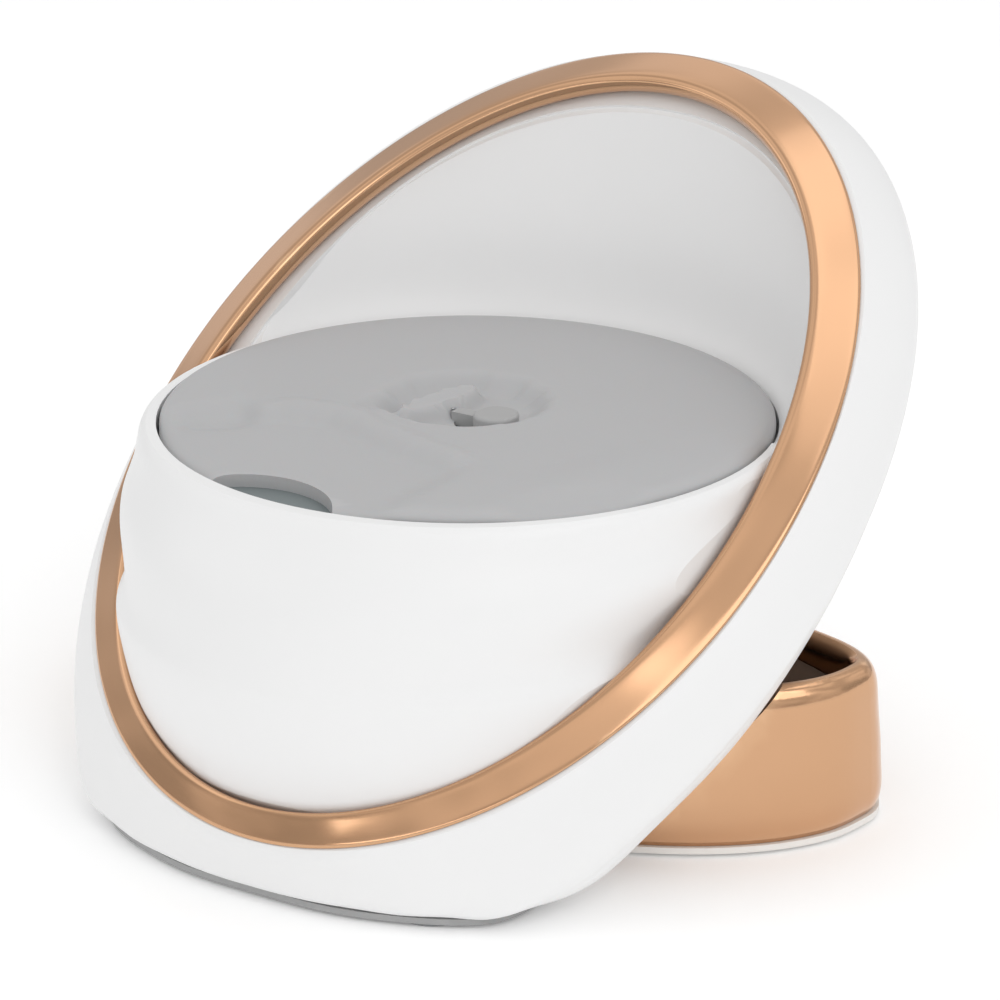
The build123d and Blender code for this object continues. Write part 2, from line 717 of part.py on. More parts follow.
with BuildPart() as switch_board:
    with BuildSketch(behind(22.9)):
        with Locations(buttonSpot):
            RectangleRounded(12.0, 9.0, 0.8)
    extrude(amount=-1.0)
switch_board.part.label = "switch_board"
with BuildPart() as tact_switch:
    with BuildSketch(behind(23.95)):
        with Locations(buttonSpot):
            Rectangle(6.0, 6.0)
    extrude(amount=-1.4)
    with BuildSketch(behind(25.35)):
        with Locations(buttonSpot):
            Circle(1.6)
    extrude(amount=-0.5)
tact_switch.part.label = "tact_switch"
buttonTravel = 0.5
with BuildPart() as power_button:
    with BuildSketch(behind(26.45)):
        with Locations(buttonSpot):
            Circle(buttonRadius + 0.9)
    extrude(amount=-0.7)
    with BuildSketch(behind(26.45)):
        with Locations(buttonSpot):
            Circle(buttonRadius)
    extrude(amount=-3.9)
    fillet(power_button.edges().filter_by(GeomType.CIRCLE).sort_by(Axis.Y)[-1], 0.5)
power_button.part.label = "power_button"

# ---- stand: loop, base plate and mat ----
with BuildPart() as loopOuter:
    for high, inset in ((standBase, 1.2), (standBase + 1.0, 0.6), (5.0, 0.1), (9.0, 0.0), (14.0, 0.0), (18.5, 0.0),
                        (21.0, 0.4), (22.0, 1.1), (standHigh, 2.0)):
        with BuildSketch(levelPlane.offset(high)):
            with BuildLine():
                Spline(standOutline(high, inset), periodic=True)
            make_face()
    loft()
innerSteps = [(standBase - 0.5, 0.0), (8.0, 0.0), (18.5, 0.0), (21.0, 0.4), (22.0, 1.1), (standHigh + 0.1, 1.7)]
with BuildPart() as loopInner:
    for high, widen in innerSteps:
        with BuildSketch(levelPlane.offset(high)):
            with BuildLine():
                Spline(standOutline(high, standWall - widen), periodic=True)
            make_face()
    loft()
boardBottom = standBase + 1.0
socketHigh = boardBottom + 1.0 + seatFit + 1.6
podGapWide, podGapLong, podGapY = 56.0, 42.0, -25.0
with BuildPart() as podRoom:
    add(standClearance.part)
    with BuildSketch(levelPlane):
        with Locations((0, podGapY)):
            Rectangle(podGapWide, podGapLong)
    extrude(amount=30)
with BuildPart() as stand_loop:
    add(loopOuter.part)
    add(loopInner.part, mode=Mode.SUBTRACT)
    add(podRoom.part, mode=Mode.SUBTRACT)
    with BuildSketch(Plane.XZ.offset(-18)):
        with Locations((0, socketHigh)):
            RectangleRounded(9.4, 3.6, 1.7)
    extrude(amount=-20, mode=Mode.SUBTRACT)
stand_loop.part.label = "stand_loop"

mountPlate = 0.85
boardPosts = [(10.0, 12.0), (-10.0, 12.0), (10.0, 18.0), (-10.0, 18.0)]
with BuildPart() as base_plate:
    with BuildSketch(levelPlane.offset(standBase - seatFit - mountPlate)):
        with BuildLine():
            Spline(standOutline(standBase, 0.6), periodic=True)
        make_face()
    extrude(amount=mountPlate)
    with BuildSketch(levelPlane):
        with Locations((0, -45)):
            Rectangle(130, 62)
        with Locations((0, podGapY)):
            Rectangle(podGapWide, podGapLong)
    extrude(amount=5, mode=Mode.SUBTRACT)
    with BuildSketch(levelPlane.offset(standBase - seatFit)):
        with Locations(*boardPosts):
            Circle(1.6)
    extrude(amount=1.0)
    with BuildSketch(levelPlane.offset(standBase - seatFit - 0.2)):
        with Locations(*boardPosts):
            Circle(0.8)
    extrude(amount=1.3, mode=Mode.SUBTRACT)
base_plate.part.label = "base_plate"
with BuildPart() as base_mat:
    with BuildSketch(levelPlane):
        with BuildLine():
            Spline(standOutline(standBase, 2.0), periodic=True)
        make_face()
    extrude(amount=standBase - seatFit - mountPlate - seatFit)
    with BuildSketch(levelPlane):
        with Locations((0, -45)):
            Rectangle(130, 62)
    extrude(amount=5, mode=Mode.SUBTRACT)
base_mat.part.label = "base_mat"

# ---- stand: tray, rests, coil and charging board ----
trayDepth = caseDepth + domeDepth + 1.5
trayThick = 1.2
with BuildPart() as trayRoom:
    for high, widen in innerSteps:
        with BuildSketch(levelPlane.offset(high)):
            with BuildLine():
                Spline(standOutline(high, standWall - widen + 2 * seatFit), periodic=True)
            make_face()
    loft()
    with BuildSketch(levelPlane):
        Rectangle(130, 90)
    extrude(amount=standBase + 0.4, mode=Mode.SUBTRACT)
with BuildPart() as cradle_tray:
    with BuildSketch(behind(trayDepth)):
        Rectangle(120.0, 90.0)
    extrude(amount=-trayThick)
    add(trayRoom.part, mode=Mode.INTERSECT)
    add(standClearance.part, mode=Mode.SUBTRACT)
cradle_tray.part.label = "cradle_tray"
with BuildPart() as cradle_rests:
    with BuildSketch(behind(trayDepth - seatFit)):
        with Locations((13.0, -14.0), (-13.0, -14.0)):
            SlotOverall(14.0, 4.0, rotation=90)
    extrude(amount=0.8)
cradle_rests.part.label = "cradle_rests"
sendSpot = (0.0, -15.0)
with BuildPart() as sender_coil:
    with BuildSketch(behind(trayDepth + trayThick + seatFit)):
        with Locations(sendSpot):
            Circle(10.0)
            Circle(5.5, mode=Mode.SUBTRACT)
    extrude(amount=-0.9)
sender_coil.part.label = "sender_coil"
with BuildPart() as sender_ferrite:
    with BuildSketch(behind(trayDepth + trayThick + 1.0)):
        with Locations(sendSpot):
            Circle(10.0)
    extrude(amount=-0.5)
sender_ferrite.part.label = "sender_ferrite"
with BuildPart() as charging_board:
    with BuildSketch(levelPlane.offset(boardBottom)):
        with Locations((0, 14.4)):
            RectangleRounded(26.0, 11.2, 0.8)
        with Locations(*boardPosts):
            Circle(0.85, mode=Mode.SUBTRACT)
    extrude(amount=1.0)
    with BuildSketch(levelPlane.offset(boardBottom + 1.0)):
        with Locations((-3.5, 13.0), (3.0, 12.2)):
            Rectangle(4.0, 4.0)
    extrude(amount=1.1)
charging_board.part.label = "charging_board"
with BuildPart() as board_screws:
    with BuildSketch(levelPlane.offset(boardBottom + 1.0 + seatFit)):
        with Locations(*boardPosts):
            Circle(1.4)
    extrude(amount=0.8)
    with BuildSketch(levelPlane.offset(standBase - seatFit - 0.1)):
        with Locations(*boardPosts):
            Circle(0.75)
    extrude(amount=2.3)
board_screws.part.label = "board_screws"
with BuildPart() as usb_socket:
    with BuildSketch(Plane.XZ.offset(-17.4)):
        with Locations((0, socketHigh)):
            RectangleRounded(8.9, 3.2, 1.5)
    extrude(amount=-10.0)
    with BuildSketch(Plane.XZ.offset(-21.4)):
        with Locations((0, socketHigh)):
            RectangleRounded(8.3, 2.6, 1.2)
    extrude(amount=-10.0, mode=Mode.SUBTRACT)
    with BuildSketch(Plane.XZ.offset(-21.0)):
        with Locations((0, socketHigh)):
            Rectangle(6.6, 0.7)
    extrude(amount=-5.6)
usb_socket.part.label = "usb_socket"

os.makedirs("parts", exist_ok=True)
pieces = [
    rear_case, back_cover, cover_screws, trim_ring, front_housing, skid_plate, pod_feet,
    gear_plate, plate_screws, motor_can, motor_screws, motor_shaft, motor_pinion, idler_gear, idler_arbor,
    output_gear, spindle, lower_bearing, upper_bearing, shaft_seal, drive_plate,
    scrub_pad, pad_backing, latch_tab, latch_spring,
    battery_cell, pod_ferrite, receiver_coil, main_board, switch_board, tact_switch, power_button,
    stand_loop, base_plate, base_mat, cradle_tray, cradle_rests, sender_coil, sender_ferrite,
    charging_board, board_screws, usb_socket,
]
for piece in pieces:
    export_step(piece.part, "parts/" + piece.part.label + ".step")
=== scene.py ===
import json
from math import cos, radians, sin

import bpy
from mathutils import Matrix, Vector

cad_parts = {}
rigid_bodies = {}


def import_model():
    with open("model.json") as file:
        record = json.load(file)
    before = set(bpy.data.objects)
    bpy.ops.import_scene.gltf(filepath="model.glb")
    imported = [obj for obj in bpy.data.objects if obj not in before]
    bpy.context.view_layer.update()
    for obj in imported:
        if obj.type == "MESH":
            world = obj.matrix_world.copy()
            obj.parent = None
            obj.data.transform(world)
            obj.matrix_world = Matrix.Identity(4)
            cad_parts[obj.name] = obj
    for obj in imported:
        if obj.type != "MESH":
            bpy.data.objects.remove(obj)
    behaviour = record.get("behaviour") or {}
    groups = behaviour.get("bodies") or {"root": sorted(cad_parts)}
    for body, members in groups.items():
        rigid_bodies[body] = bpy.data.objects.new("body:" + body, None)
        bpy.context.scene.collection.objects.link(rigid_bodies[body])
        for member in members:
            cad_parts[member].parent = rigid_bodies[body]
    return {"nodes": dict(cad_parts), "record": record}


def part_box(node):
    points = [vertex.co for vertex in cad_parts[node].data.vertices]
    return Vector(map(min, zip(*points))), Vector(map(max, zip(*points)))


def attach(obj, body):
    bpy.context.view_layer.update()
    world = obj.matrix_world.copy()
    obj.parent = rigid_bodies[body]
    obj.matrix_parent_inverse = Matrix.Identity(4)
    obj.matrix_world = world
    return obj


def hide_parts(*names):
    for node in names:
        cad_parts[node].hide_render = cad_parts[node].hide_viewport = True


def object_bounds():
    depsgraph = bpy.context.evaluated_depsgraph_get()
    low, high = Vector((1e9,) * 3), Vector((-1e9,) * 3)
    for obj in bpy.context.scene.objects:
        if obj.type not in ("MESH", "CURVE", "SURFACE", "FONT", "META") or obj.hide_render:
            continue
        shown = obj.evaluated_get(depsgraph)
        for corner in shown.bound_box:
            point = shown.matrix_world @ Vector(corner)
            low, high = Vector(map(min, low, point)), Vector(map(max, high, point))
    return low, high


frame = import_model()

print("stage: frame loaded")
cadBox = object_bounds()
mm = 0.001
nodes = frame["nodes"]

# where the ring plane sits, the same as in the CAD
ringTilt = radians(36.4)
ringCentre = Vector((0, 2.9, 46.8)) * mm


def hexColour(text):
    # sRGB hex to linear
    out = []
    for i in (1, 3, 5):
        c = int(text[i:i + 2], 16) / 255
        out.append(c / 12.92 if c <= 0.04045 else ((c + 0.055) / 1.055) ** 2.4)
    return (*out, 1.0)


def addNode(tree, kind, settings=None, inputs=None):
    # one node, its settings, and its inputs as values or as links from other nodes
    node = tree.nodes.new(kind)
    for key, value in (settings or {}).items():
        setattr(node, key, value)
    for key, value in (inputs or {}).items():
        if isinstance(value, bpy.types.NodeSocket):
            tree.links.new(value, node.inputs[key])
        else:
            node.inputs[key].default_value = value
    return node


def makeMaterial(name, look):
    # base colour with slow variation, fine grain in bump and roughness, and a painted highlight: a paler edge colour
    # mixed onto convex edges
    material = bpy.data.materials.new(name)
    material.use_nodes = True
    tree = material.node_tree
    tree.nodes.clear()
    place = addNode(tree, "ShaderNodeTexCoord").outputs["Object"]
    cloud = addNode(tree, "ShaderNodeTexNoise", None,
                    {"Vector": place, "Scale": 1 / (look.get("cloudMm", 30) * mm), "Detail": 3.0})
    colour = addNode(tree, "ShaderNodeMix", {"data_type": "RGBA"})
    tree.links.new(cloud.outputs["Fac"], colour.inputs[0])
    colour.inputs[6].default_value = hexColour(look["colour"])
    colour.inputs[7].default_value = hexColour(look.get("cloud", look["colour"]))
    # painted highlight: convex edges, found by pointiness, take the paler edge colour
    convexity = addNode(tree, "ShaderNodeNewGeometry").outputs["Pointiness"]
    edge = addNode(tree, "ShaderNodeMapRange", None,
                   {0: convexity, 1: 0.51, 2: 0.58, 3: 0.0, 4: look.get("edgeShine", 0.0)})
    colourWithEdgeShine = addNode(tree, "ShaderNodeMix", {"data_type": "RGBA"})
    tree.links.new(edge.outputs[0], colourWithEdgeShine.inputs[0])
    tree.links.new(colour.outputs[2], colourWithEdgeShine.inputs[6])
    colourWithEdgeShine.inputs[7].default_value = hexColour(look.get("edge", look["colour"]))
    grain = addNode(tree, "ShaderNodeTexNoise", None,
                    {"Vector": place, "Scale": 1 / (look.get("grainMm", 0.5) * mm), "Detail": 2.0})
    rough = addNode(tree, "ShaderNodeMapRange", None,
                    {0: grain.outputs["Fac"], 3: look["rough"] - look.get("roughSpread", 0.03),
                     4: look["rough"] + look.get("roughSpread", 0.03)})
    bump = addNode(tree, "ShaderNodeBump", None,
                   {"Height": grain.outputs["Fac"], "Strength": look.get("bump", 0.1),
                    "Distance": look.get("bumpMm", 0.02) * mm})
    shader = addNode(tree, "ShaderNodeBsdfPrincipled", None,
                     {"Base Color": colourWithEdgeShine.outputs[2], "Roughness": rough.outputs[0],
                      "Normal": bump.outputs[0], "Metallic": look.get("metallic", 0.0)})
    if look.get("metallic", 0.0) < 0.5:
        shader.inputs["IOR"].default_value = look.get("ior", 1.5)
    shader.inputs["Coat Weight"].default_value = look.get("coat", 0.0)
    shader.inputs["Coat Roughness"].default_value = look.get("coatRough", 0.1)
    shader.inputs["Subsurface Weight"].default_value = look.get("soft", 0.0)
    shader.inputs["Subsurface Scale"].default_value = 0.002
    shader.inputs["Emission Color"].default_value = hexColour("#FFFFFF")
    shader.inputs["Emission Strength"].default_value = look.get("glow", 0.0)
    output = addNode(tree, "ShaderNodeOutputMaterial")
    tree.links.new(shader.outputs[0], output.inputs[0])
    return material


# what each finish is in the real thing, except the edge colours: these are painted highlights on convex edges
looks = {
    # satin moulded ABS: pale, soft broad highlight, faint spark-eroded grain
    "white_shell": {"colour": "#EEEEEE", "cloud": "#EBEBEB", "rough": 0.42, "grainMm": 0.35, "bump": 0.12,
                    "edge": "#F0F0F0", "edgeShine": 0.2, "ior": 1.5},
    # vacuum-plated copper gold under clear lacquer: smooth, warm, mirror with slight orange peel
    "copper_gold": {"colour": "#D2A580", "cloud": "#CEA07A", "rough": 0.15, "roughSpread": 0.02,
                    "metallic": 1.0, "grainMm": 4.0, "bump": 0.05, "bumpMm": 0.05, "cloudMm": 60,
                    "coat": 0.3, "coatRough": 0.08,
                    # painted highlight: this pale edge colour stands for light along the copper's convex edges
                    "edge": "#F0C8A0", "edgeShine": 0.3},
    # moulded silicone rubber: dead matte, powdery
    "pad_silicone": {"colour": "#B6B6B7", "cloud": "#B2B2B3", "rough": 0.62, "grainMm": 0.4, "bump": 0.15,
                     "edge": "#C2C2C3", "edgeShine": 0.3, "ior": 1.41, "soft": 0.05},
    "blue_grey": {"colour": "#737B7C", "cloud": "#6E7677", "rough": 0.5, "grainMm": 0.5, "edge": "#868E8F",
                  "edgeShine": 0.3},
    "tab_plastic": {"colour": "#A9A9A9", "cloud": "#A3A3A3", "rough": 0.5, "grainMm": 0.4, "edge": "#BBBBBB",
                    "edgeShine": 0.3},
    "grey_plastic": {"colour": "#A4A4A4", "cloud": "#9E9E9E", "rough": 0.5, "grainMm": 0.5, "edge": "#B4B4B4",
                     "edgeShine": 0.3},
    "rubber_feet": {"colour": "#8A8C8D", "cloud": "#828485", "rough": 0.75, "grainMm": 0.6, "bump": 0.25,
                    "edge": "#9A9C9D", "edgeShine": 0.4},
    "white_base": {"colour": "#EDEAE6", "cloud": "#E8E4DF", "rough": 0.45, "grainMm": 0.4, "edge": "#F4F2EF",
                   "edgeShine": 0.2},
    # painted shade: this brown is the shaded copper seen inside the stand loop, painted onto the tray
    "dark_tray": {"colour": "#5E4634", "cloud": "#58412F", "rough": 0.42, "grainMm": 0.5, "edge": "#5A483A",
                  "edgeShine": 0.3},
    # turned and drawn steel: fine tool marks
    "steel": {"colour": "#B8BABC", "cloud": "#AEB0B3", "rough": 0.3, "roughSpread": 0.08, "metallic": 1.0,
              "grainMm": 0.3, "bump": 0.2, "edge": "#D8DADC", "edgeShine": 0.5},
    "inner_plastic": {"colour": "#4C4F52", "cloud": "#45484B", "rough": 0.5, "edge": "#66696C", "edgeShine": 0.4},
    "brass_gear": {"colour": "#C49A4A", "cloud": "#B98F42", "rough": 0.3, "metallic": 1.0, "grainMm": 0.3,
                   "edge": "#E0BC70", "edgeShine": 0.5},
    "gear_plastic": {"colour": "#E6E2D6", "cloud": "#DEDACD", "rough": 0.4, "edge": "#F0EDE4", "edgeShine": 0.3,
                     "soft": 0.1},
    "bronze": {"colour": "#9A7441", "cloud": "#8C6838", "rough": 0.45, "metallic": 1.0, "edge": "#B8925C",
               "edgeShine": 0.5},
    "cell_wrap": {"colour": "#3F5F8A", "cloud": "#3A587F", "rough": 0.35, "edge": "#57779F", "edgeShine": 0.3},
    "ferrite": {"colour": "#2E2F30", "cloud": "#282929", "rough": 0.65, "bump": 0.3, "edge": "#3E3F40",
                "edgeShine": 0.4},
    "copper_wire": {"colour": "#A8623A", "cloud": "#9C5832", "rough": 0.35, "metallic": 0.8, "grainMm": 0.25,
                    "bump": 0.4, "edge": "#C07A50", "edgeShine": 0.4},
    "board_green": {"colour": "#1F5A3A", "cloud": "#1B5034", "rough": 0.3, "edge": "#2F7A50", "edgeShine": 0.3},
}
materials = {name: makeMaterial(name, look) for name, look in looks.items()}
slotOf = {piece["node"]: piece["material_slot"] for piece in frame["record"]["subparts"]}
for name, node in nodes.items():
    if node.type == "MESH":
        node.data.materials.clear()
        node.data.materials.append(materials[slotOf[name]])
print("stage: materials made,", len(materials))


def deselectAll():
    if bpy.context.mode != "OBJECT":
        bpy.ops.object.mode_set(mode="OBJECT")
    bpy.ops.object.select_all(action="DESELECT")


def finishPiece(name, slotName, body, *replaced):
    # applies the object's place, names it, gives it its finish and its body
    piece = bpy.context.active_object
    bpy.ops.object.transform_apply(location=True, rotation=True, scale=True)
    piece.name = name
    piece.data.materials.clear()
    piece.data.materials.append(materials[slotName])
    if replaced:
        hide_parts(*replaced)
    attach(piece, body)
    return piece


def applyModifier(piece, kind, settings):
    modifier = piece.modifiers.new(kind.lower(), kind)
    for key, value in settings.items():
        setattr(modifier, key, value)
    bpy.context.view_layer.objects.active = piece
    bpy.ops.object.modifier_apply(modifier=modifier.name)


# ---- trim ring: loops grown from the outer edge over the crown to the inner edge ----
def growOvals(loops, segments, closed):
    # each loop: half width, half length, shift along the slope, height above the ring plane (mm)
    deselectAll()
    bpy.ops.mesh.primitive_circle_add(vertices=segments, radius=mm, fill_type="NOTHING", location=(0, 0, 0))
    bpy.ops.object.mode_set(mode="EDIT")
    bpy.ops.mesh.select_all(action="SELECT")
    width, length, shift, rise = loops[0]
    bpy.ops.transform.resize(value=(width, length, 1), center_override=(0, 0, 0))
    bpy.ops.transform.translate(value=(0, shift * mm, rise * mm))
    for nextWidth, nextLength, nextShift, nextRise in loops[1:]:
        bpy.ops.mesh.extrude_edges_move()
        bpy.ops.transform.resize(value=(nextWidth / width, nextLength / length, 1),
                                 center_override=(0, shift * mm, rise * mm))
        bpy.ops.transform.translate(value=(0, (nextShift - shift) * mm, (nextRise - rise) * mm))
        width, length, shift, rise = nextWidth, nextLength, nextShift, nextRise
    if closed:
        bpy.ops.object.mode_set(mode="OBJECT")
        mesh = bpy.context.active_object.data
        for i, vertex in enumerate(mesh.vertices):
            vertex.select = i < segments or i >= len(mesh.vertices) - segments
        for edge in mesh.edges:
            edge.select = all(mesh.vertices[v].select for v in edge.vertices) and (
                all(v < segments for v in edge.vertices)
                or all(v >= len(mesh.vertices) - segments for v in edge.vertices))
        bpy.ops.object.mode_set(mode="EDIT")
        bpy.ops.mesh.select_mode(type="EDGE")
        bpy.ops.mesh.bridge_edge_loops()
        bpy.ops.mesh.select_mode(type="VERT")
    bpy.ops.mesh.select_all(action="SELECT")
    bpy.ops.mesh.normals_make_consistent(inside=False)
    bpy.ops.object.mode_set(mode="OBJECT")
    return bpy.context.active_object


def setOnRingPlane(piece):
    piece.rotation_euler = (ringTilt, 0, 0)
    piece.location = ringCentre


ring = {
    "segments": 192,
    "loops": [(48.7, 65.1, 0, 0.06), (48.8, 65.2, 0, 0.16), (48.74, 65.14, 0, 0.34), (48.5, 64.9, -0.05, 0.56),
              (48.0, 64.4, -0.15, 0.8), (47.0, 63.5, -0.4, 1.25), (45.6, 62.2, -0.8, 1.9), (44.4, 61.1, -1.2, 2.45),
              (43.9, 60.6, -1.4, 2.62), (43.4, 60.15, -1.6, 2.64), (43.0, 59.8, -1.7, 2.45), (42.8, 59.6, -1.7, 1.9),
              (42.8, 59.6, -1.7, -0.9), (46.4, 62.8, -0.8, -0.9), (46.4, 62.8, -0.5, 0.06)],
    "taper": -0.06,
}
trimRing = growOvals(ring["loops"], ring["segments"], True)
applyModifier(trimRing, "SIMPLE_DEFORM",
              {"deform_method": "TAPER", "deform_axis": "Y", "factor": ring["taper"]})
applyModifier(trimRing, "SUBSURF", {"levels": 1, "render_levels": 1})
bpy.ops.object.shade_smooth()
setOnRingPlane(trimRing)
finishPiece("trimBand", "copper_gold", "pod", "trim_ring")
print("stage: trim ring")

# ---- scrub pad: disc of fine rings, relief pressed in by soft pulls ----
pad = {
    "bottom": 48.16, "top": 51.0, "underside": 2.5, "segments": 160, "ringStep": 0.8,
    "flatFrom": 30.0, "rimFrom": 37.2, "innermost": 0.9, "crown": 0.1,
    # place, size along its own length and across it, turn, how far it is pulled, softness (mm)
    "dimple": ((-1.8, 2.2), 8.4, 8.0, 0, -2.3, 3.8),
    "pulls": [((-5.2, 0.8), 6.8, 2.1, 80, 2.1, 1.8), ((-9.8, -4.2), 2.0, 1.2, 60, -1.2, 2.8),
              ((-25.6, -19.4), 3.6, 1.3, 60, -1.5, 4.0), ((31.0, -24.0), 6.0, 1.6, 55, -1.0, 5.0)],
    # the front lobe sits lower than the main face, past a soft S-shaped crest
    "lobeEdge": [(-30, -22), (-24, -17.5), (-18, -12.8), (-13, -11.6), (-8, -12.8), (-3, -15.0), (3, -17.0),
                 (10, -18.2)],
    "lobe": (-1.2, 5.5, 3.5),
    "crest": (0.75, 3.2, 1.0), "crestFrom": -22,
    "fold": [(26, -19, 0.35), (28.5, -12, 0.45), (31, -4, 0.35), (33, 4, 0.2)],
    "notch": ((-4.6, -45.2), 12.2),
    "slot": (3.0, 0.0, 4.6, 3.5),
}
rise = pad["top"]
profile = [(38.6, pad["bottom"]), (39.7, pad["bottom"]), (40.0, pad["bottom"] + 0.35), (40.0, rise - 1.7),
           (39.9, rise - 1.2), (39.55, rise - 0.72), (39.0, rise - 0.38), (38.2, rise - 0.16)]
inner = pad["rimFrom"]
while inner > pad["innermost"]:
    fall = max(0.0, (inner - pad["flatFrom"]) / 7.4) ** 2
    profile.append((inner, rise - pad["crown"] * fall))
    inner -= pad["ringStep"]
scrubPad = growOvals([(r, r, 0, z) for r, z in profile], pad["segments"], False)
bpy.ops.object.mode_set(mode="EDIT")
bpy.ops.mesh.select_all(action="DESELECT")
bpy.ops.mesh.select_mode(type="EDGE")
bpy.ops.mesh.select_non_manifold(extend=False)
bpy.ops.mesh.edge_face_add()
bpy.ops.mesh.select_mode(type="VERT")
bpy.ops.object.mode_set(mode="OBJECT")


def pullSoft(piece, inside, amount, softness):
    # picks the upper vertices that inside() accepts and pulls them, the neighbours follow softly
    mesh = piece.data
    bpy.ops.object.mode_set(mode="EDIT")
    bpy.ops.mesh.select_all(action="DESELECT")
    bpy.ops.object.mode_set(mode="OBJECT")
    for vertex in mesh.vertices:
        upper = vertex.co.z > (pad["top"] - pad["underside"]) * mm
        vertex.select = upper and inside(vertex.co.x / mm, vertex.co.y / mm)
    bpy.ops.object.mode_set(mode="EDIT")
    bpy.ops.transform.translate(value=(0, 0, amount * mm), use_proportional_edit=True,
                                proportional_edit_falloff="SMOOTH", proportional_size=softness * mm)
    bpy.ops.object.mode_set(mode="OBJECT")


def ellipseTest(centre, along, across, turn):
    c, s = cos(radians(turn)), sin(radians(turn))

    def test(x, y):
        dx, dy = x - centre[0], y - centre[1]
        u, v = dx * c + dy * s, -dx * s + dy * c
        return (u / along) ** 2 + (v / across) ** 2 < 1
    return test


place, along, across, turn, amount, softness = pad["dimple"]
pullSoft(scrubPad, ellipseTest(place, along, across, turn), amount, softness)
for place, along, across, turn, amount, softness in pad["pulls"]:
    pullSoft(scrubPad, ellipseTest(place, along, across, turn), amount, softness)


def edgeAt(x):
    # where the lobe's edge runs at this x, or None past its ends
    for (x0, y0), (x1, y1) in zip(pad["lobeEdge"], pad["lobeEdge"][1:]):
        if x0 <= x < x1:
            return y0 + (y1 - y0) * (x - x0) / (x1 - x0)
    return None


def inLobe(x, y):
    return edgeAt(x) is not None and y < edgeAt(x) - clear


def onCrest(x, y):
    return edgeAt(x) is not None and x > pad["crestFrom"] and abs(y - edgeAt(x)) < half


amount, softness, clear = pad["lobe"]
pullSoft(scrubPad, inLobe, amount, softness)
amount, softness, half = pad["crest"]
pullSoft(scrubPad, onCrest, amount, softness)
for x, y, amount in pad["fold"]:
    pullSoft(scrubPad, ellipseTest((x, y), 1.6, 1.6, 0), amount, 6.0)
print("stage: pad relief")


def cutWith(piece, cutter):
    applyModifier(piece, "BOOLEAN", {"operation": "DIFFERENCE", "object": cutter, "solver": "EXACT"})
    bpy.data.objects.remove(cutter)
    deselectAll()
    piece.select_set(True)
    bpy.context.view_layer.objects.active = piece


(nx, ny), nr = pad["notch"]
deselectAll()
bpy.ops.mesh.primitive_cylinder_add(vertices=96, radius=nr * mm, depth=8 * mm,
                                    location=(nx * mm, ny * mm, 50 * mm))
cutWith(scrubPad, bpy.context.active_object)
sx, sy, sl, sw = pad["slot"]
deselectAll()
bpy.ops.mesh.primitive_cylinder_add(vertices=64, radius=sw * mm, depth=10 * mm,
                                    location=(sx * mm, sy * mm, 50 * mm))
bpy.context.active_object.scale = (sl / sw, 1, 1)
cutWith(scrubPad, bpy.context.active_object)
bpy.ops.object.shade_smooth_by_angle(angle=radians(40))
finishPiece("scrubFace", "pad_silicone", "pad", "scrub_pad")
print("stage: scrub pad")


# ---- rubber pieces: feet and ring mat under the stand ----
def softEdges(width, segments):
    applyModifier(bpy.context.active_object, "BEVEL",
                  {"width": width * mm, "segments": segments, "limit_method": "ANGLE",
                   "angle_limit": radians(40)})
    bpy.ops.object.shade_smooth_by_angle(angle=radians(40))


low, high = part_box("pod_feet")
feet = {"radius": 4.5, "spots": [(21.0, -40.0), (-21.0, -40.0)], "lip": 0.12, "lipSteps": 3}
deselectAll()
for x, y in feet["spots"]:
    bpy.ops.mesh.primitive_cylinder_add(vertices=64, radius=feet["radius"] * mm, depth=high[2] - low[2],
                                        location=(x * mm, y * mm, (low[2] + high[2]) / 2))
    bpy.context.active_object.name = "foot"
for piece in bpy.context.scene.objects:
    piece.select_set(piece.name.startswith("foot"))
bpy.ops.object.join()
softEdges(feet["lip"], feet["lipSteps"])
finishPiece("rubberFeet", "rubber_feet", "pod", "pod_feet")

low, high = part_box("base_mat")
mat = {
    "halfWidth": 52.7, "middle": 12.0, "front": 30.0, "back": 15.0, "cut": -14.0,
    "lip": 0.14, "lipSteps": 2,
}
deselectAll()
bpy.ops.mesh.primitive_cylinder_add(vertices=128, radius=mm, depth=high[2] - low[2],
                                    location=(0, 0, (low[2] + high[2]) / 2))
matPiece = bpy.context.active_object
bpy.ops.object.transform_apply(location=True, rotation=True, scale=True)
for front in (True, False):
    bpy.ops.object.mode_set(mode="EDIT")
    bpy.ops.mesh.select_all(action="DESELECT")
    bpy.ops.object.mode_set(mode="OBJECT")
    for vertex in matPiece.data.vertices:
        vertex.select = (vertex.co.y < 0) == front
    bpy.ops.object.mode_set(mode="EDIT")
    bpy.ops.transform.resize(value=(mat["halfWidth"], mat["front"] if front else mat["back"], 1),
                             center_override=(0, 0, 0))
    bpy.ops.object.mode_set(mode="OBJECT")
bpy.ops.object.mode_set(mode="EDIT")
bpy.ops.mesh.select_all(action="SELECT")
bpy.ops.transform.translate(value=(0, mat["middle"] * mm, 0))
bpy.ops.mesh.bisect(plane_co=(0, mat["cut"] * mm, 0), plane_no=(0, -1, 0), use_fill=True, clear_outer=True)
bpy.ops.object.mode_set(mode="OBJECT")
softEdges(mat["lip"], mat["lipSteps"])
finishPiece("standMat", "rubber_feet", "stand", "base_mat")
print("stage: feet and mat")


# ---- camera, light, floor ----
viewing = {
    "target": (5.85, -1.30, 39.34), "azimuth": 33.0, "elevation": 20.16,
    "distance": 559.9, "lens": 155.4,
}
a, e = radians(viewing["azimuth"]), radians(viewing["elevation"])
away = Vector((sin(a) * cos(e), -cos(a) * cos(e), sin(e)))
cameraData = bpy.data.cameras.new("camera")
cameraData.lens = viewing["lens"]
cameraData.sensor_width = 36.0
cameraData.clip_start = 0.01
camera = bpy.data.objects.new("camera", cameraData)
camera.location = (Vector(viewing["target"]) + away * viewing["distance"]) * mm
camera.rotation_euler = (-away).to_track_quat("-Z", "Y").to_euler()
bpy.context.scene.collection.objects.link(camera)
bpy.context.scene.camera = camera

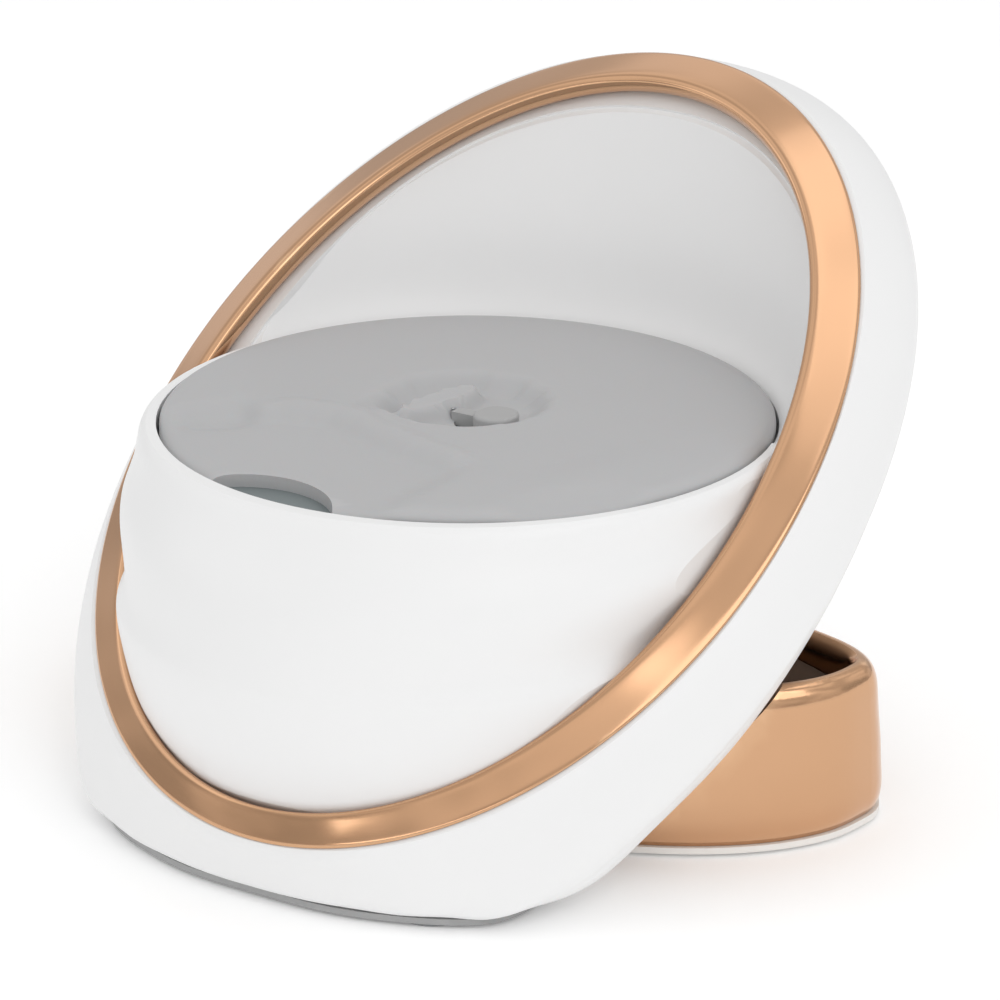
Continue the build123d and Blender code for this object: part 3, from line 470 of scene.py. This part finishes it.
lighting = {
    "world": 0.94, "low": 0.66, "left": 0.92, "right": 1.0, "patchLow": 0.74, "patchHigh": 1.12,
    # name: place, aim, width, height (metres), power
    "key": ((0.95, -0.45, 0.95), (0, 0, 0.05), 0.9, 0.9, 3.2),
    "fill": ((-0.9, -0.5, 0.55), (0, 0, 0.06), 0.9, 0.7, 0.9),
    "top": ((0.15, 0.35, 1.2), (0, 0, 0.05), 0.9, 0.6, 1.1),
    "strip": ((0.25, -1.0, 0.18), (0, 0, 0.04), 0.9, 0.10, 0.5),
}
world = bpy.data.worlds.new("studio")
bpy.context.scene.world = world
world.use_nodes = True
background = world.node_tree.nodes["Background"]
skyTree = world.node_tree
direction = addNode(skyTree, "ShaderNodeTexCoord").outputs["Generated"]
axes = addNode(skyTree, "ShaderNodeSeparateXYZ", None, {0: direction})
rising = addNode(skyTree, "ShaderNodeMapRange", {"interpolation_type": "SMOOTHSTEP"},
                 {0: axes.outputs["Z"], 1: -0.1, 2: 0.6, 3: lighting["low"], 4: 1.0})
across = addNode(skyTree, "ShaderNodeMapRange", None,
                 {0: axes.outputs["X"], 1: -1.0, 2: 1.0, 3: lighting["left"], 4: lighting["right"]})
drift = addNode(skyTree, "ShaderNodeTexNoise", None, {"Vector": direction, "Scale": 3.5, "Detail": 1.5})
patches = addNode(skyTree, "ShaderNodeMapRange", {"interpolation_type": "SMOOTHSTEP"},
                  {0: drift.outputs["Fac"], 1: 0.42, 2: 0.62, 3: lighting["patchLow"], 4: lighting["patchHigh"]})
level = addNode(skyTree, "ShaderNodeMath", {"operation": "MULTIPLY"},
                {0: rising.outputs[0], 1: across.outputs[0]})
mixed = addNode(skyTree, "ShaderNodeMath", {"operation": "MULTIPLY"},
                {0: level.outputs[0], 1: patches.outputs[0]})
skyTree.links.new(mixed.outputs[0], background.inputs[0])
background.inputs[1].default_value = lighting["world"]
for name in ("key", "fill", "top", "strip"):
    place, aim, wide, high, power = lighting[name]
    lampData = bpy.data.lights.new(name, "AREA")
    lampData.shape = "RECTANGLE"
    lampData.size, lampData.size_y, lampData.energy = wide, high, power
    lamp = bpy.data.objects.new(name, lampData)
    lamp.location = place
    lamp.rotation_euler = (Vector(aim) - Vector(place)).to_track_quat("-Z", "Y").to_euler()
    bpy.context.scene.collection.objects.link(lamp)
deselectAll()
bpy.ops.mesh.primitive_plane_add(size=6.0, location=(0, 0, 0))
floor = bpy.context.active_object
floor.name = "floor"
floor.data.materials.append(makeMaterial("matte_paper", {"colour": "#FEFEFE", "cloud": "#FDFDFD", "rough": 0.8,
                                                         "bump": 0.0, "cloudMm": 400, "glow": 0.1}))
bpy.context.scene.view_settings.view_transform = "Standard"
print("stage: camera, light and floor set")

low, high = cadBox
